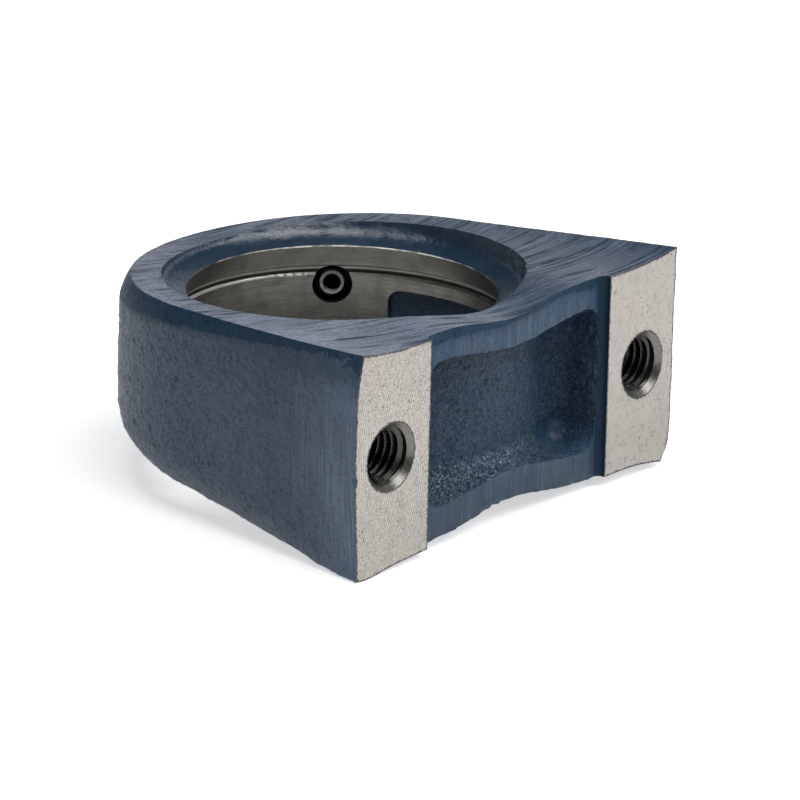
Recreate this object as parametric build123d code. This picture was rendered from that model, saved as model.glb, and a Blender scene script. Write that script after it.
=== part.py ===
"""Short-base pillow block housing with a spherical seat, and the grease nipple screwed into it.

Millimetres. The origin is the centre of the spherical seat, +Z runs along the bore, the feet
face -Y and the base length runs along X, so the housing lies on one of its side faces.
"""

import os
from math import acos, atan, atan2, cos, degrees, hypot, radians, sin, sqrt, tan

from build123d import *

# ---- driving dimensions: housing ----
SEAT_DIAMETER = 72.0          # spherical seat, the outer diameter of the insert bearing
SEAT_WIDTH = 30.8             # machined width of the seat
CENTRE_HEIGHT = 47.6          # seat centre above the feet
BASE_LENGTH = 104.4           # over both feet
FOOT_LENGTH = 22.9            # machined length of one foot
RING_WALL = 10.5              # seat to the crown of the outer wall
CROWN_WIDTH = 35.4            # ring width at its top
CROWN_FLARE = 3.2             # ring width gained at the housing's full length, by the crown
WAIST_WIDTH = 39.0            # base width midway between the feet
SHOULDER_WIDTH = 43.8         # base width where the feet begin
FOOT_END_WIDTH = 47.0         # base width at the outer ends of the feet
SHOULDER_SETBACK = 8.7        # from the foot to where the waist starts
WALL_BARREL_RADIUS = 400.0    # crowning of the outer wall
UPPER_ROUNDING = 9.0          # cast rounding of the outer wall's upper edge
UPPER_CROWN_GRIND = 2.9       # depth that the side face cuts into that rounding, at the crown
UPPER_CENTRE_GRIND = 3.2      # the same beside the seat
LOWER_ROUNDING = 11.0         # the lower edge is rounded fuller and ground less
LOWER_CROWN_GRIND = 0.8
LOWER_CENTRE_GRIND = 0.2
FOOT_GRIND = 7.0              # the same at the feet, on both sides

# ---- driving dimensions: mouths, groove and loading slots of the seat ----
MOUTH_DIAMETER = 75.2         # cast opening where it meets the side faces
MOUTH_DRAFT = 10.0            # degrees that the mouth's wall opens outwards
LEDGE_RISE = 1.3              # height of the cast ledge between the seat and the mouth's wall
MOUTH_FILLET = 1.6
GROOVE_WIDTH = 2.4
GROOVE_DEPTH = 0.9
GROOVE_OFFSET = 9.25          # groove above the seat centre
GROOVE_CORNER = 0.45
SLOT_WIDTH = 29.0             # loading slots that let the insert in edgewise
SLOT_CLEARANCE = 1.2          # slot floor behind the seat
SLOT_TOP = 5.2                # slot end above the seat centre
SLOT_CORNER = 3.0

# ---- driving dimensions: underside ----
RELIEF_DEPTH = 1.8            # land between the feet, set back from them
RELIEF_FILLET = 1.4
POCKET_LENGTH = 56.0
POCKET_ROOF = 35.5            # flat roof of the pocket below the seat centre
POCKET_LAND_WAIST = 6.2       # land left beside the pocket, midway
POCKET_LAND_SHOULDER = 6.4    # land left beside the pocket, near the feet
POCKET_RIM_CORNER = 4.2
POCKET_ROUNDING = 4.0         # inner edges of the pocket
SEAT_BACK_WALL = 5.6          # iron left between the seat and the pocket

# ---- driving dimensions: tapped feet ----
HOLE_SPACING = 82.6
THREAD_DIAMETER = 12.0
THREAD_DEPTH = 20.0
COUNTERSINK_DIAMETER = 14.2
COUNTERSINK_ANGLE = 90.0
DRILL_POINT_ANGLE = 118.0

# ---- driving dimensions: grease passage in the housing ----
NIPPLE_ANGLE = 43.0           # degrees round the bore from +X
NIPPLE_OFFSET = 5.8           # nipple axis above the seat centre
NIPPLE_THREAD_DIAMETER = 6.0
SPOT_FACE_DIAMETER = 11.0
SPOT_FACE_DEPTH = 1.2         # below the crown of the outer wall
RECESS_DIAMETER = 8.6         # opening of the passage in the seat
RECESS_DEPTH = 4.6            # behind the seat

# ---- driving dimensions: grease nipple ----
TAIL_LENGTH = 8.3             # threaded shank below the hexagon
TAIL_CHAMFER = 0.4
HEX_ACROSS_FLATS = 7.0
HEX_HEIGHT = 3.4
HEX_CHAMFER_ANGLE = 30.0
NECK_DIAMETER = 4.7
NECK_LENGTH = 0.8
HEAD_DIAMETER = 6.5
HEAD_HEIGHT = 6.3             # hexagon to tip
HEAD_BAND = 0.5               # straight part of the head
TIP_DIAMETER = 3.4
CHAMBER_DIAMETER = 3.3        # bore that holds the ball and its spring
CHAMBER_CHAMFER = 0.3
TIP_HOLE_DIAMETER = 1.4
TIP_HOLE_DEPTH = 0.85
SNAP_GROOVE_DIAMETER = 3.8    # groove that holds the spring's foot coil
SNAP_GROOVE_INSET = 2.4       # groove from the tail's end
SNAP_GROOVE_WIDTH = 0.6
BALL_DIAMETER = 2.4
BALL_CLEARANCE = 0.02         # ball to its conical seat, and spring to ball
SPRING_WIRE = 0.36
SPRING_TURNS = 8.0
SPRING_FOOT_CLEARANCE = 0.05  # foot coil to the snap groove
SPRING_CHAMBER_CLEARANCE = 0.1  # first free coil to the chamber
SPRING_END_DIAMETER = 1.9     # mean coil diameter under the ball

# ---- worked out ----
SEAT_RADIUS = SEAT_DIAMETER / 2
WALL_RADIUS = SEAT_RADIUS + RING_WALL
HALF_LENGTH = BASE_LENGTH / 2
FOOT_INNER = HALF_LENGTH - FOOT_LENGTH
LAND_Y = RELIEF_DEPTH - CENTRE_HEIGHT
SPARE = 10.0                  # how far a cutting shape runs past what it cuts
BALL_RADIUS = BALL_DIAMETER / 2
CHAMBER_RADIUS = CHAMBER_DIAMETER / 2
SPOT_FACE_RADIUS = WALL_RADIUS - SPOT_FACE_DEPTH
NIPPLE_TIP = HEX_HEIGHT + HEAD_HEIGHT
BALL_SEAT_TOP = NIPPLE_TIP - TIP_HOLE_DEPTH
BALL_SEAT_BOTTOM = BALL_SEAT_TOP - (CHAMBER_DIAMETER - TIP_HOLE_DIAMETER) / 2
BALL_CENTRE = BALL_SEAT_BOTTOM + CHAMBER_RADIUS - BALL_RADIUS * sqrt(2) - BALL_CLEARANCE

# The nipple is drawn upright from the spot face and then placed on this plane.
NIPPLE_DIRECTION = (cos(radians(NIPPLE_ANGLE)), sin(radians(NIPPLE_ANGLE)), 0)
NIPPLE_PLANE = Plane(
    origin=(SPOT_FACE_RADIUS * NIPPLE_DIRECTION[0], SPOT_FACE_RADIUS * NIPPLE_DIRECTION[1], NIPPLE_OFFSET),
    x_dir=(0, 0, 1),
    z_dir=NIPPLE_DIRECTION,
)


def turned(outline):
    """Solid of revolution about Z from the closed outline of its half section, in the XZ plane."""
    return revolve(Plane.XZ * make_face(outline), Axis.Z)


def turned_points(*points):
    """Solid of revolution about Z from the corners of its half section, each (radius, height)."""
    return turned(Polyline(*points, close=True))


# ---- outer form of the housing ----


def crowned_section(inner):
    """Half section of the outer wall, from the inner radius to the crowned face."""
    half_height = FOOT_END_WIDTH
    edge = WALL_RADIUS - WALL_BARREL_RADIUS + sqrt(WALL_BARREL_RADIUS**2 - half_height**2)
    crown = ThreePointArc((edge, -half_height), (WALL_RADIUS, 0), (edge, half_height))
    back = Polyline((edge, half_height), (inner, half_height), (inner, -half_height), (edge, -half_height))
    return Curve() + [crown, back]


def outer_wall():
    """The ring and the two flanks that leave it tangentially for the outer ends of the feet."""
    corner = hypot(HALF_LENGTH, CENTRE_HEIGHT)
    contact = acos(WALL_RADIUS / corner) - atan2(CENTRE_HEIGHT, HALF_LENGTH)
    section_plane = Plane(
        (0, 0, 0), x_dir=(cos(contact), sin(contact), 0), z_dir=(sin(contact), -cos(contact), 0)
    )
    flank_length = sqrt(corner**2 - WALL_RADIUS**2) + SPARE
    flank = extrude(section_plane * make_face(crowned_section(-WALL_RADIUS / 2)), amount=flank_length)
    return turned(crowned_section(0)) + flank + mirror(flank, Plane.YZ)


def blank_edge(side, crown_grind, centre_grind):
    """Arc in the YZ plane that one side of the raw casting follows from the crown to the feet."""
    crown = CROWN_WIDTH / 2 + crown_grind
    centre = (CROWN_WIDTH + CROWN_FLARE + FOOT_END_WIDTH) / 4 + centre_grind
    foot = FOOT_END_WIDTH / 2 + FOOT_GRIND
    return ThreePointArc((WALL_RADIUS, side * crown), (0, side * centre), (-CENTRE_HEIGHT, side * foot))


def rounded(blank, side, radius):
    """The blank with its outer edge on one side rounded."""
    curved = [edge for edge in blank.edges() if edge.geom_type != GeomType.LINE]
    return fillet([edge for edge in curved if side * edge.center().Z > CROWN_WIDTH / 4], radius)


def raw_casting():
    """Outer wall between its two raw sides, with the cast rounding along each edge."""
    upper = blank_edge(1, UPPER_CROWN_GRIND, UPPER_CENTRE_GRIND)
    lower = blank_edge(-1, LOWER_CROWN_GRIND, LOWER_CENTRE_GRIND)
    outline = Curve() + [upper, lower, Line(upper @ 0, lower @ 0), Line(upper @ 1, lower @ 1)]
    blank = outer_wall() & extrude(Plane.YZ * make_face(outline), amount=BASE_LENGTH, both=True)
    return rounded(rounded(blank, 1, UPPER_ROUNDING), -1, LOWER_ROUNDING)


def side_profile(y, stations, widths):
    """Closed section of the housing across Y, whose two edges pass through the widths."""
    upper = Spline(*[(x, width / 2) for x, width in zip(stations, widths)])
    lower = mirror(upper, Plane.XZ)
    ends = [Line(upper @ 0, lower @ 0), Line(upper @ 1, lower @ 1)]
    return Plane((0, y, 0), x_dir=(1, 0, 0), z_dir=(0, -1, 0)) * make_face(Curve() + [upper, lower, *ends])


def side_faces():
    """Block between the two ground side faces: dished along the base and narrower at the crown."""
    shoulder = FOOT_INNER - SHOULDER_SETBACK
    stations = [-HALF_LENGTH, -FOOT_INNER, -shoulder, 0, shoulder, FOOT_INNER, HALF_LENGTH]
    half_base = [FOOT_END_WIDTH, SHOULDER_WIDTH, SHOULDER_WIDTH]
    base = [*half_base, WAIST_WIDTH, *reversed(half_base)]
    crown = [CROWN_WIDTH + CROWN_FLARE * (x / HALF_LENGTH) ** 2 for x in stations]
    past_crown = 1 + SPARE / (CENTRE_HEIGHT + WALL_RADIUS)
    beyond = [low + (high - low) * past_crown for low, high in zip(base, crown)]
    base_section = side_profile(-CENTRE_HEIGHT, stations, base)
    far_section = side_profile(WALL_RADIUS + SPARE, stations, beyond)
    return loft([base_section, far_section], ruled=True)


# ---- what is turned, cast or drilled into it ----


def seat_bore():
    """Everything turned or cast about the bore: the spherical seat, its groove and both mouths."""
    half_width = SEAT_WIDTH / 2
    edge = sqrt(SEAT_RADIUS**2 - half_width**2)
    seat_arc = ThreePointArc((edge, -half_width), (SEAT_RADIUS, 0), (edge, half_width))
    seat_back = Polyline((edge, half_width), (0, half_width), (0, -half_width), (edge, -half_width))
    seat = turned(Curve() + [seat_arc, seat_back])

    outside = FOOT_END_WIDTH / 2 + SPARE
    slope = tan(radians(MOUTH_DRAFT))
    ledge = half_width + LEDGE_RISE
    ledge_radius = MOUTH_DIAMETER / 2 - (CROWN_WIDTH / 2 - ledge) * slope
    mouth_radius = ledge_radius + (outside - ledge) * slope
    corners = [(edge, half_width), (ledge_radius, ledge), (mouth_radius, outside)]
    wall = FilletPolyline(*corners, radius=MOUTH_FILLET)
    mouth_back = Polyline((mouth_radius, outside), (0, outside), (0, half_width), (edge, half_width))
    mouth = turned(Curve() + [wall, mouth_back])

    groove_radius = sqrt(SEAT_RADIUS**2 - GROOVE_OFFSET**2) + GROOVE_DEPTH
    groove_section = Pos(groove_radius / 2, GROOVE_OFFSET) * Rectangle(groove_radius, GROOVE_WIDTH)
    groove_section = fillet(groove_section.vertices().group_by(Axis.X)[-1], GROOVE_CORNER)
    groove = revolve(Plane.XZ * groove_section, Axis.Z)
    return seat + mouth + mirror(mouth, Plane.XY) + groove


def loading_slots():
    """Pair of cast slots, open to the lower face, that the insert enters edgewise before it is turned."""
    reach = SEAT_RADIUS + SLOT_CLEARANCE
    depth = SLOT_TOP + FOOT_END_WIDTH / 2 + SPARE
    hang = (Align.CENTER, Align.CENTER, Align.MAX)
    drum = Pos(0, 0, SLOT_TOP) * Cylinder(reach, depth, align=hang)
    bar = Pos(0, 0, SLOT_TOP) * Box(2 * reach, SLOT_WIDTH, depth, align=hang)
    bar = fillet(bar.edges().filter_by(Axis.X).group_by(Axis.Z)[-1], SLOT_CORNER)
    return drum & bar


def base_relief():
    """Shallow step across the underside, which leaves the two feet proud."""
    step = Pos(0, LAND_Y, 0) * Box(
        2 * FOOT_INNER,
        RELIEF_DEPTH + SPARE,
        FOOT_END_WIDTH + SPARE,
        align=(Align.CENTER, Align.MAX, Align.CENTER),
    )
    return fillet(step.edges().filter_by(Axis.Z).group_by(Axis.Y)[-1], RELIEF_FILLET)


def base_pocket():
    """Cored pocket behind the land: its roof is flat, with the outside of the seat bulging into it."""
    half = POCKET_LENGTH / 2
    shoulder = FOOT_INNER - SHOULDER_SETBACK
    waist_edge = WAIST_WIDTH / 2 - POCKET_LAND_WAIST
    shoulder_edge = SHOULDER_WIDTH / 2 - POCKET_LAND_SHOULDER
    stations = [-half, -shoulder, 0, shoulder, half]
    edges = [shoulder_edge, shoulder_edge, waist_edge, shoulder_edge, shoulder_edge]
    upper = Spline(*zip(stations, edges))
    lower = mirror(upper, Plane.XZ)
    outline = make_face(Curve() + [upper, lower, Line(upper @ 0, lower @ 0), Line(upper @ 1, lower @ 1)])
    outline = fillet(outline.vertices(), POCKET_RIM_CORNER)
    open_end = LAND_Y - SPARE
    rim_plane = Plane((0, open_end, 0), x_dir=(1, 0, 0), z_dir=(0, 1, 0))
    seat_back = Cylinder(SEAT_RADIUS + SEAT_BACK_WALL, 2 * FOOT_END_WIDTH)
    core = extrude(rim_plane * outline, amount=-POCKET_ROOF - open_end) - seat_back
    inner = [edge for edge in core.edges() if edge.bounding_box().min.Y > open_end + SPARE / 2]
    return fillet(inner, POCKET_ROUNDING)


def tapped_holes():
    """One blind hole in each foot, at thread major diameter, countersunk and with its drill point."""
    radius = THREAD_DIAMETER / 2
    flare = tan(radians(COUNTERSINK_ANGLE / 2))
    wide = COUNTERSINK_DIAMETER / 2 + SPARE * flare
    wall_start = (COUNTERSINK_DIAMETER / 2 - radius) / flare
    point = THREAD_DEPTH + radius / tan(radians(DRILL_POINT_ANGLE / 2))
    wall = [(radius, wall_start), (radius, THREAD_DEPTH)]
    hole = turned_points((0, -SPARE), (wide, -SPARE), *wall, (0, point))
    places = [(side * HOLE_SPACING / 2, -CENTRE_HEIGHT, 0) for side in (-1, 1)]
    return [Plane(place, x_dir=(1, 0, 0), z_dir=(0, 1, 0)) * hole for place in places]


def grease_passage():
    """Recess in the seat, nipple thread and spot face, all on the nipple's axis."""
    recess_end = SEAT_RADIUS + RECESS_DEPTH - SPOT_FACE_RADIUS
    inside = -(RECESS_DEPTH + SPARE)
    passage = turned_points(
        (0, inside),
        (RECESS_DIAMETER / 2, inside),
        (RECESS_DIAMETER / 2, recess_end),
        (NIPPLE_THREAD_DIAMETER / 2, recess_end),
        (NIPPLE_THREAD_DIAMETER / 2, 0),
        (SPOT_FACE_DIAMETER / 2, 0),
        (SPOT_FACE_DIAMETER / 2, SPARE),
        (0, SPARE),
    )
    return NIPPLE_PLANE * passage


def housing():
    """The one-piece casting, machined: ground sides, milled feet, turned seat and tapped holes."""
    ground = raw_casting() & side_faces()
    cast_cuts = [loading_slots(), base_relief(), base_pocket()]
    machined_cuts = [seat_bore(), *tapped_holes(), grease_passage()]
    return ground - cast_cuts - machined_cuts


# ---- grease nipple ----


def nipple_body():
    """Straight grease nipple: hexagon, coupler head, shank and the bore that holds its check valve."""
    head_radius = HEAD_DIAMETER / 2
    neck_radius = NECK_DIAMETER / 2
    neck_top = HEX_HEIGHT + NECK_LENGTH
    band = neck_top + head_radius - neck_radius
    head = turned_points(
        (0, HEX_HEIGHT),
        (neck_radius, HEX_HEIGHT),
        (neck_radius, neck_top),
        (head_radius, band),
        (head_radius, band + HEAD_BAND),
        (TIP_DIAMETER / 2, NIPPLE_TIP),
        (0, NIPPLE_TIP),
    )
    corner = HEX_ACROSS_FLATS / sqrt(3)
    drop = (corner - HEX_ACROSS_FLATS / 2) * tan(radians(HEX_CHAMFER_ANGLE))
    hexagon = extrude(RegularPolygon(corner, 6), amount=HEX_HEIGHT)
    turned_top = turned_points(
        (0, 0),
        (corner, 0),
        (corner, HEX_HEIGHT - drop),
        (HEX_ACROSS_FLATS / 2, HEX_HEIGHT),
        (0, HEX_HEIGHT),
    )
    shank = Cylinder(NIPPLE_THREAD_DIAMETER / 2, TAIL_LENGTH, align=(Align.CENTER, Align.CENTER, Align.MAX))
    shank = chamfer(shank.edges().group_by(Axis.Z)[0], TAIL_CHAMFER)
    return NIPPLE_PLANE * (head + (hexagon & turned_top) + shank - valve_bore())


def valve_bore():
    """Chamber from the tail's end to the ball seat, with the snap groove and the hole in the tip."""
    end = -TAIL_LENGTH
    groove = end + SNAP_GROOVE_INSET
    return turned_points(
        (0, end),
        (CHAMBER_RADIUS + CHAMBER_CHAMFER, end),
        (CHAMBER_RADIUS, end + CHAMBER_CHAMFER),
        (CHAMBER_RADIUS, groove),
        (SNAP_GROOVE_DIAMETER / 2, groove),
        (SNAP_GROOVE_DIAMETER / 2, groove + SNAP_GROOVE_WIDTH),
        (CHAMBER_RADIUS, groove + SNAP_GROOVE_WIDTH),
        (CHAMBER_RADIUS, BALL_SEAT_BOTTOM),
        (TIP_HOLE_DIAMETER / 2, BALL_SEAT_TOP),
        (TIP_HOLE_DIAMETER / 2, NIPPLE_TIP),
        (0, NIPPLE_TIP),
    )


def check_ball():
    """Ball that closes the nipple's tip from inside."""
    return NIPPLE_PLANE * (Pos(0, 0, BALL_CENTRE) * Sphere(BALL_RADIUS))


def check_spring():
    """Conical spring: a flat foot coil held in the snap groove, then free coils up to the ball."""
    wire_radius = SPRING_WIRE / 2
    foot_radius = SNAP_GROOVE_DIAMETER / 2 - wire_radius - SPRING_FOOT_CLEARANCE
    coil_radius = CHAMBER_RADIUS - wire_radius - SPRING_CHAMBER_CLEARANCE
    end_radius = SPRING_END_DIAMETER / 2
    foot_height = -TAIL_LENGTH + SNAP_GROOVE_INSET + SNAP_GROOVE_WIDTH / 2
    top_height = BALL_CENTRE - sqrt((BALL_RADIUS + wire_radius) ** 2 - end_radius**2) - BALL_CLEARANCE
    coil_start = foot_height + wire_radius
    coil_height = top_height - coil_start
    taper = degrees(atan((coil_radius - end_radius) / coil_height))
    pitch = coil_height / SPRING_TURNS
    coils = Helix(pitch, coil_height, coil_radius, (0, 0, coil_start), cone_angle=-taper)
    foot = Pos(0, 0, foot_height) * CenterArc((0, 0), foot_radius, 0, 270)
    rise = Spline(foot @ 1, coils @ 0, tangents=[foot % 1, coils % 0])
    path = Wire([foot, rise, coils])
    wire = Plane(origin=foot @ 0, x_dir=(0, 0, 1), z_dir=foot % 0) * Circle(wire_radius)
    return NIPPLE_PLANE * sweep(wire, path=path, is_frenet=True)


PIECES = {
    "housing": housing,
    "grease_nipple_body": nipple_body,
    "nipple_check_ball": check_ball,
    "nipple_check_spring": check_spring,
}

os.makedirs("parts", exist_ok=True)
for name, make_piece in PIECES.items():
    export_step(make_piece(), f"parts/{name}.step")
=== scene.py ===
import math
from collections import namedtuple

import bmesh
import bpy
import numpy as np
from mathutils import Matrix, Quaternion, Vector, noise
from mathutils.bvhtree import BVHTree
from mathutils.kdtree import KDTree


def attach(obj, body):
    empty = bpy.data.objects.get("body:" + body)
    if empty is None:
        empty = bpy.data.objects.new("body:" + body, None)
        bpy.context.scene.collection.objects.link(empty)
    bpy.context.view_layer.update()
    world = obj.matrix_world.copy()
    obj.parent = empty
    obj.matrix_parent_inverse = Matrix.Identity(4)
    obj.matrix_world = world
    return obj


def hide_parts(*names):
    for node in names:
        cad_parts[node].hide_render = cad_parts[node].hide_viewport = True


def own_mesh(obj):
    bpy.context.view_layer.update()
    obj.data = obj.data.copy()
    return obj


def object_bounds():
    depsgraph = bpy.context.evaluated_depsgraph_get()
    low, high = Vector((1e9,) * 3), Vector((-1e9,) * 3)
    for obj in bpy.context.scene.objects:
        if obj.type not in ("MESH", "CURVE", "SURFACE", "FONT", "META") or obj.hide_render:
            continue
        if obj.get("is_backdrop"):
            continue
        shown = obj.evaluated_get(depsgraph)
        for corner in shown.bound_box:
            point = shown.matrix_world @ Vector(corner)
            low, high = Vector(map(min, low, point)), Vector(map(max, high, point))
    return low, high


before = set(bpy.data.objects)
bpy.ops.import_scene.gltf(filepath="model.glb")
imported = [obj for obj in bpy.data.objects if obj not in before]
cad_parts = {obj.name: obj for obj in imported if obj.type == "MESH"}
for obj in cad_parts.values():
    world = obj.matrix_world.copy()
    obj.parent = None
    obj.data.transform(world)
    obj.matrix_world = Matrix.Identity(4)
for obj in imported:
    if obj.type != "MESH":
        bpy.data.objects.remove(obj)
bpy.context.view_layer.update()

MM = 0.001

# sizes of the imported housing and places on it, in millimetres
SEAT_RADIUS = 36
SEAT_HALF_WIDTH = 15.4
GROOVE_Z, GROOVE_HALF_WIDTH, GROOVE_DEPTH = 9.25, 1.2, 0.9
FEET_Y = -47.6
LAND_Y = -45.8
BOLT_X = 41.3
NIPPLE = Vector((0.731354, 0.681998, 0))
NIPPLE_Z = 5.8
NIPPLE_FACE = 45.3


# ---------------------------------------------------------------- camera
PHOTO_WIDTH = 800


def place_camera():
    """The photograph's camera: angles in radians, distance in millimetres, the rest in pixels."""
    azimuth, elevation, roll = -0.88284668, 0.31021121, 0.02004367
    distance, focal, across, down = 1391.766, 6667.506, 341.092, 360.909
    back = Vector((math.sin(azimuth) * math.cos(elevation),
                   -math.cos(azimuth) * math.cos(elevation), math.sin(elevation)))
    level = Vector((math.cos(azimuth), math.sin(azimuth), 0))
    above = back.cross(level)
    right = level * math.cos(roll) + above * math.sin(roll)
    up = above * math.cos(roll) - level * math.sin(roll)
    data = bpy.data.cameras.new("camera")
    data.sensor_width = 36
    data.lens = data.sensor_width * focal / PHOTO_WIDTH
    data.shift_x = 0.5 - across / PHOTO_WIDTH
    data.shift_y = down / PHOTO_WIDTH - 0.5
    data.clip_start, data.clip_end = 0.1, 20
    camera = bpy.data.objects.new("camera", data)
    camera.matrix_world = (Matrix.Translation(back * distance * MM)
                           @ Matrix((right, up, back)).transposed().to_4x4())
    bpy.context.scene.collection.objects.link(camera)
    bpy.context.scene.camera = camera


place_camera()


# ---------------------------------------------------------------- materials
class Finish:
    """A node material: a Principled shader with helpers for the textures that feed it."""

    def __init__(self, name, metallic=0.0, specular=0.5):
        self.material = bpy.data.materials.new(name)
        self.material.use_nodes = True
        self.tree = self.material.node_tree
        self.tree.nodes.clear()
        self.shader = self.add("ShaderNodeBsdfPrincipled")
        self.shader.inputs["Metallic"].default_value = metallic
        self.shader.inputs["Specular IOR Level"].default_value = specular
        out = self.add("ShaderNodeOutputMaterial")
        self.link(self.shader.outputs[0], out.inputs["Surface"])
        self.place = self.add("ShaderNodeTexCoord").outputs["Object"]
        self.normal = None

    def add(self, kind):
        return self.tree.nodes.new(kind)

    def link(self, source, target):
        self.tree.links.new(source, target)

    def math(self, operation, *values):
        node = self.add("ShaderNodeMath")
        node.operation = operation
        for socket, value in zip(node.inputs, values):
            if isinstance(value, (int, float)):
                socket.default_value = value
            else:
                self.link(value, socket)
        return node.outputs[0]

    def plus(self, first, second):
        return self.math("ADD", first, second)

    def minus(self, first, second):
        return self.math("SUBTRACT", first, second)

    def times(self, first, second):
        return self.math("MULTIPLY", first, second)

    def fit(self, value, low, high, to_low=0.0, to_high=1.0):
        """value from low..high to to_low..to_high, smoothly and held at the ends."""
        node = self.add("ShaderNodeMapRange")
        node.interpolation_type = "SMOOTHSTEP"
        for socket, number in zip(node.inputs[1:5], (low, high, to_low, to_high)):
            socket.default_value = number
        self.link(value, node.inputs[0])
        return node.outputs[0]

    def scaled(self, stretch=(1, 1, 1)):
        node = self.add("ShaderNodeMapping")
        node.inputs["Scale"].default_value = stretch
        self.link(self.place, node.inputs["Vector"])
        return node.outputs[0]

    def arcs(self, centre_x, centre_y, along):
        """Coordinates of strokes round a centre in millimetres: across them, and slowly along."""
        node = self.add("ShaderNodeCombineXYZ")
        x = self.minus(self.axis(0), centre_x * MM)
        y = self.minus(self.axis(1), centre_y * MM)
        reach = self.math("SQRT", self.plus(self.times(x, x), self.times(y, y)))
        self.link(reach, node.inputs[0])
        swing = self.math("ARCTAN2", x, self.times(y, -1.0))
        self.link(self.times(swing, math.hypot(centre_x, centre_y) * MM * along),
                  node.inputs[1])
        self.link(self.times(self.axis(2), 0.2), node.inputs[2])
        return node.outputs[0]

    def noise(self, period, detail=3.0, roughness=0.6, stretch=(1, 1, 1), twist=0.0, place=None):
        """Noise with features of about period millimetres."""
        node = self.add("ShaderNodeTexNoise")
        node.inputs["Scale"].default_value = 1 / (period * MM)
        node.inputs["Detail"].default_value = detail
        node.inputs["Roughness"].default_value = roughness
        node.inputs["Distortion"].default_value = twist
        self.link(place or self.scaled(stretch), node.inputs["Vector"])
        return node.outputs["Fac"]

    def cells(self, period):
        """Distance from the middle of the nearest of cells about period millimetres apart."""
        node = self.add("ShaderNodeTexVoronoi")
        node.inputs["Scale"].default_value = 1 / (period * MM)
        self.link(self.scaled(), node.inputs["Vector"])
        return node.outputs["Distance"]

    def attribute(self, name):
        node = self.add("ShaderNodeAttribute")
        node.attribute_name = name
        return node.outputs["Fac"]

    def axis(self, index):
        node = self.add("ShaderNodeSeparateXYZ")
        self.link(self.place, node.inputs[0])
        return node.outputs[index]

    def ramp(self, value, *stops):
        """A colour for value from (value, colour) stops."""
        node = self.add("ShaderNodeValToRGB")
        elements = node.color_ramp.elements
        while len(elements) < len(stops):
            elements.new(0.5)
        for element, (place, colour) in zip(elements, stops):
            element.position = place
            element.color = (*colour, 1)
        self.link(value, node.inputs[0])
        return node.outputs[0]

    def mix(self, amount, first, second):
        """first where amount is 0 and second where it is 1; each a colour or a node's output."""
        node = self.add("ShaderNodeMix")
        node.data_type = "RGBA"
        for socket, value in zip((node.inputs[0], node.inputs[6], node.inputs[7]),
                                 (amount, first, second)):
            if isinstance(value, tuple):
                socket.default_value = (*value, 1)
            else:
                self.link(value, socket)
        return node.outputs[2]

    def bump(self, height, depth):
        """Adds relief of about depth millimetres for a height of 0 to 1."""
        node = self.add("ShaderNodeBump")
        node.inputs["Strength"].default_value = 1.0
        node.inputs["Distance"].default_value = depth * MM
        self.link(height, node.inputs["Height"])
        if self.normal is not None:
            self.link(self.normal, node.inputs["Normal"])
        self.normal = node.outputs[0]

    def done(self, colour, roughness):
        self.link(colour, self.shader.inputs["Base Color"])
        self.link(roughness, self.shader.inputs["Roughness"])
        if self.normal is not None:
            self.link(self.normal, self.shader.inputs["Normal"])
        return self.material


PAINT = (0.017, 0.046, 0.088)
PAINT_DEEP = (0.010, 0.030, 0.062)
PAINT_PALE = (0.028, 0.060, 0.102)


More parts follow.
